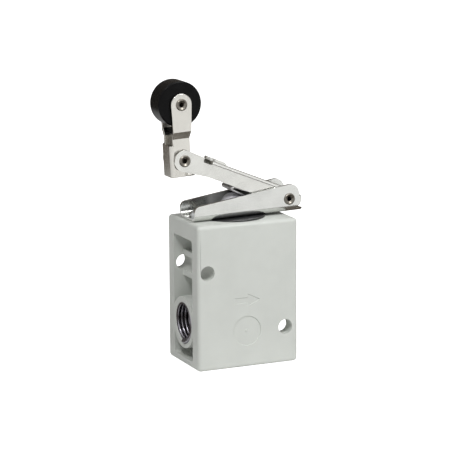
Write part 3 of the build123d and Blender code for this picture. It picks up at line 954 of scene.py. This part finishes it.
@dataclass
class LeverGear:
    """The bent-sheet parts of the lever, with their rivets and screws.

    The tongue's sizes are taken in the arm's own frame, from the pivot along the arm and up from it.
    """

    sheet_edge_mm: float = 0.22
    rivet_edge_mm: float = 0.05
    pivot_mm: tuple[float, float] = (18.44, 55.4)
    tongue_half_width_mm: float = 3.0
    tongue_tip_centre_mm: float = -29.2
    tongue_reach_mm: float = 5.0
    tongue_margin_mm: float = 0.2
    tongue_levels_mm: tuple[float, float] = (3.02, 4.6)
    tongue_steps: int = 24
    # The fork's bends end in tiny faces, which would hold back the easing of the long edges beside them.
    wide_edged: tuple[str, ...] = ("roller_bracket",)

    def round_tongue(self, arm: bpy.types.Object) -> None:
        """Rounds the tip of the tongue that is pressed up out of the arm's web.

        Args:
            arm: The arm's copy.
        """
        radius = self.tongue_half_width_mm * MM
        centre = self.tongue_tip_centre_mm * MM
        wide = radius + self.tongue_margin_mm * MM
        left = centre - self.tongue_reach_mm * MM
        bow = [
            (centre - radius * math.sin(math.pi * step / self.tongue_steps),
             radius * math.cos(math.pi * step / self.tongue_steps))
            for step in range(self.tongue_steps + 1)
        ]
        outline = [(centre, wide), (left, wide), (left, -wide), (centre, -wide)] + list(reversed(bow))
        low, high = (level * MM for level in self.tongue_levels_mm)
        cutter = prism("tongue_cutter", outline, -high, -low)
        pivot_x, pivot_z = (value * MM for value in self.pivot_mm)
        upright = Matrix.Rotation(math.radians(-90), 4, "X")
        turn = Matrix.Rotation(math.radians(ARM_RISE_DEGREES), 4, "Y")
        moved(cutter, Matrix.Translation((pivot_x, 0, pivot_z)) @ turn @ upright)
        subtract(arm, cutter)

    def build(self) -> None:
        """Makes the eased copies of the sheet-metal parts and rivets, and places them."""
        parts = (
            ("base_channel_strip", "base_bracket", Palette.base_strip, Body.HOUSING, Slot.BRIGHT_STEEL),
            ("lever_arm_strip", "lever_arm", Palette.arm_strip, Body.LEVER, Slot.BRIGHT_STEEL),
            ("presser_leaf_strip", "presser_leaf", Palette.spring, Body.LEVER, Slot.SPRING_STEEL),
            ("folding_bracket_strip", "roller_bracket", Palette.fork_strip, Body.FORK, Slot.BRIGHT_STEEL),
        )
        carving = {"lever_arm": self.round_tongue}
        for name, node, finish, body, slot in parts:
            wide = node in self.wide_edged
            sheet = eased_copy(name, node, self.sheet_edge_mm * MM, carving.get(node), wide)
            place(dress(sheet, finish), body, slot, node)
        rivets = (
            ("pivot_rivet", "pivot_pin", Body.HOUSING),
            ("hinge_rivet", "hinge_pin", Body.LEVER),
            ("axle_rivet", "roller_axle", Body.FORK),
        )
        for name, node, body in rivets:
            rivet = eased_copy(name, node, self.rivet_edge_mm * MM)
            place(dress(rivet, Palette.rivet), body, Slot.RIVET_STEEL, node)
        screws = eased_copy("bracket_screw_pair", "bracket_screws", self.rivet_edge_mm * MM)
        place(dress(screws, Palette.screw), Body.HOUSING, Slot.SCREW_STEEL, "bracket_screws")
        repaint("torsion_spring", Palette.spring)


@dataclass
class Roller:
    """The black roller on its axle."""

    edge_mm: float = 0.1

    def build(self) -> None:
        """Makes the roller's copy with its satin finish."""
        low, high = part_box("roller")
        centre = (low + high) / 2
        finish = TurnedPlastic("black_acetal_roller", "#060607", 0.26, centre=tuple(centre))
        wheel = eased_copy("roller_wheel", "roller", self.edge_mm * MM)
        place(dress(wheel, finish), Body.WHEEL, Slot.ROLLER_PLASTIC, "roller")


# Studio


@dataclass
class Studio:
    """A pale floor, soft lamps, the camera of the photograph and cards that only reflections see.

    A lamp has a name, a place, a size and a power in watts. A wall has a name, its middle, and a width
    and height. All of them are in metres.
    """

    floor_size: float = 6.0
    floor_colour: str = "#f4f4f3"
    floor_roughness: float = 0.9
    floor_specular: float = 0.1
    eye_mm: tuple[float, float, float] = (-305.08, -683.34, 200.67)
    aim_mm: tuple[float, float, float] = (1.446, 9.452, 44.874)
    roll_degrees: float = -0.342
    lens_mm: float = 179.4
    sensor_mm: float = 36.0
    clip_range: tuple[float, float] = (0.01, 20.0)
    world_strength: float = 0.22
    lamps: tuple[tuple[str, tuple[float, float, float], float, float], ...] = (
        ("key", (0.35, -0.75, 0.75), 0.4, 5.2),
        ("high_left", (-0.45, -0.5, 0.95), 0.3, 4.6),
        ("top", (0.1, 0.0, 1.0), 0.7, 0.8),
    )
    aim_of_lamps: tuple[float, float, float] = (0.0, 0.0, 0.05)
    card_colour: str = "#6c655d"
    card_roughness: float = 0.9
    walls: tuple[tuple[str, tuple[float, float, float], tuple[float, float]], ...] = (
        ("dark_back", (0.0, 0.26, 0.15), (1.1, 0.34)),
        ("dark_front", (0.45, -1.1, 0.36), (1.7, 0.56)),
    )
    ring_radii: tuple[float, float] = (0.03, 0.17)
    ring_height: float = 0.001
    ring_steps: int = 64
    camera_glow: float = 0.95
    glossy_glow: float = 0.2

    def seen_white(self, tree: bpy.types.NodeTree) -> Socket:
        """One where a camera, glossy or transmitted ray sees the surface, else nought.

        Args:
            tree: The tree that takes the nodes.

        Returns:
            The value's socket.
        """
        path = add_node(tree, "ShaderNodeLightPath").outputs
        seen = add_node(tree, "ShaderNodeMath", {"operation": "MAXIMUM"}, {
            0: path["Is Camera Ray"], 1: path["Is Glossy Ray"],
        })
        all_seen = add_node(tree, "ShaderNodeMath", {"operation": "MAXIMUM"}, {
            0: seen.outputs["Value"], 1: path["Is Transmission Ray"],
        })
        return all_seen.outputs["Value"]

    def stand_card(self, name: str, mesh: bpy.types.Mesh) -> None:
        """Stages a dark card that only the reflections see, which gives the bright metal its edges.

        Args:
            name: The card's name.
            mesh: Its faces, where they stand.
        """
        card = plain_object(name, mesh)
        mesh.materials.append(Finish("dark_card", self.card_colour, self.card_roughness).material())
        card.visible_camera = False
        card.visible_diffuse = False
        card.visible_shadow = False
        card.visible_transmission = False

    def stand_cards(self) -> None:
        """The dark walls behind and before the valve, and the dark ring round its foot."""
        for name, (x, y, z), (width, height) in self.walls:
            left, right = x - width / 2, x + width / 2
            low, high = z - height / 2, z + height / 2
            corners = [(left, y, low), (right, y, low), (right, y, high), (left, y, high)]
            self.stand_card(name, one_face(name, corners))
        ring = bpy.data.meshes.new("dark_ring")
        turns = [2 * math.pi * step / self.ring_steps for step in range(self.ring_steps)]
        rims = [
            (radius * math.cos(turn), radius * math.sin(turn), self.ring_height)
            for radius in self.ring_radii for turn in turns
        ]
        count = self.ring_steps
        ring.from_pydata(rims, [], [
            (step, (step + 1) % count, count + (step + 1) % count, count + step) for step in range(count)
        ])
        self.stand_card("dark_ring", ring)

    def light_world(self) -> None:
        """An even pale world that lights softly and looks white."""
        world = bpy.data.worlds.new("pale_studio")
        bpy.context.scene.world = world
        world.use_nodes = True
        tree = world.node_tree
        strength = ramp(tree, self.seen_white(tree), (0.0, self.world_strength), (1.0, 1.0))
        background = tree.nodes["Background"]
        background.inputs["Color"].default_value = linear("#ffffff")
        tree.links.new(strength, background.inputs["Strength"])

    def lay_floor(self) -> None:
        """A wide pale floor that keeps the valve's soft shadow."""
        half = self.floor_size / 2
        corners = [(-half, -half, 0), (half, -half, 0), (half, half, 0), (-half, half, 0)]
        floor = plain_object("studio_floor", one_face("studio_floor", corners))
        material = bpy.data.materials.new("pale_paper")
        material.use_nodes = True
        tree = material.node_tree
        shader = tree.nodes["Principled BSDF"]
        shader.inputs["Base Color"].default_value = linear(self.floor_colour)
        shader.inputs["Roughness"].default_value = self.floor_roughness
        shader.inputs["Specular IOR Level"].default_value = self.floor_specular
        shader.inputs["Emission Color"].default_value = linear("#ffffff")
        path = add_node(tree, "ShaderNodeLightPath").outputs
        mirrored = add_node(tree, "ShaderNodeMath", {"operation": "MULTIPLY"}, {
            0: path["Is Glossy Ray"], 1: self.glossy_glow,
        })
        glow = add_node(tree, "ShaderNodeMath", {"operation": "MULTIPLY_ADD"}, {
            0: path["Is Camera Ray"], 1: self.camera_glow, 2: mirrored.outputs["Value"],
        })
        tree.links.new(glow.outputs["Value"], shader.inputs["Emission Strength"])
        floor.data.materials.append(material)

    def hang_lamps(self) -> None:
        """Soft area lamps round the object."""
        for name, spot, size, power in self.lamps:
            light = bpy.data.lights.new(name, "AREA")
            light.size = size
            light.energy = power
            lamp = bpy.data.objects.new(name, light)
            bpy.context.scene.collection.objects.link(lamp)
            lamp.location = spot
            towards = Vector(self.aim_of_lamps) - Vector(spot)
            lamp.rotation_euler = towards.to_track_quat("-Z", "Y").to_euler()

    def set_camera(self) -> None:
        """The camera at the photograph's place and angle."""
        data = bpy.data.cameras.new("camera")
        data.lens = self.lens_mm
        data.sensor_width = self.sensor_mm
        data.clip_start, data.clip_end = self.clip_range
        camera = bpy.data.objects.new("camera", data)
        bpy.context.scene.collection.objects.link(camera)
        eye = Vector(self.eye_mm) * MM
        aim = Vector(self.aim_mm) * MM
        straight = (aim - eye).to_track_quat("-Z", "Y").to_matrix().to_4x4()
        roll = Matrix.Rotation(math.radians(self.roll_degrees), 4, "Z")
        camera.matrix_world = Matrix.Translation(eye) @ straight @ roll
        bpy.context.scene.camera = camera

    def build(self) -> None:
        """Sets the camera, the world, the floor, the dark cards and the lamps."""
        bpy.context.scene.view_settings.view_transform = "Standard"
        self.set_camera()
        self.light_world()
        self.lay_floor()
        self.stand_cards()
        self.hang_lamps()


def main() -> None:
    """Builds the studio and the valve's sub-assemblies."""
    logging.basicConfig(level=logging.INFO, format="%(name)s: %(message)s")
    Studio().build()
    helix = helix_tree("wound_helix")
    ValveBlock().build(helix)
    PoppetValve().build(helix)
    LeverGear().build()
    Roller().build()


if __name__ == "__main__":
    main()
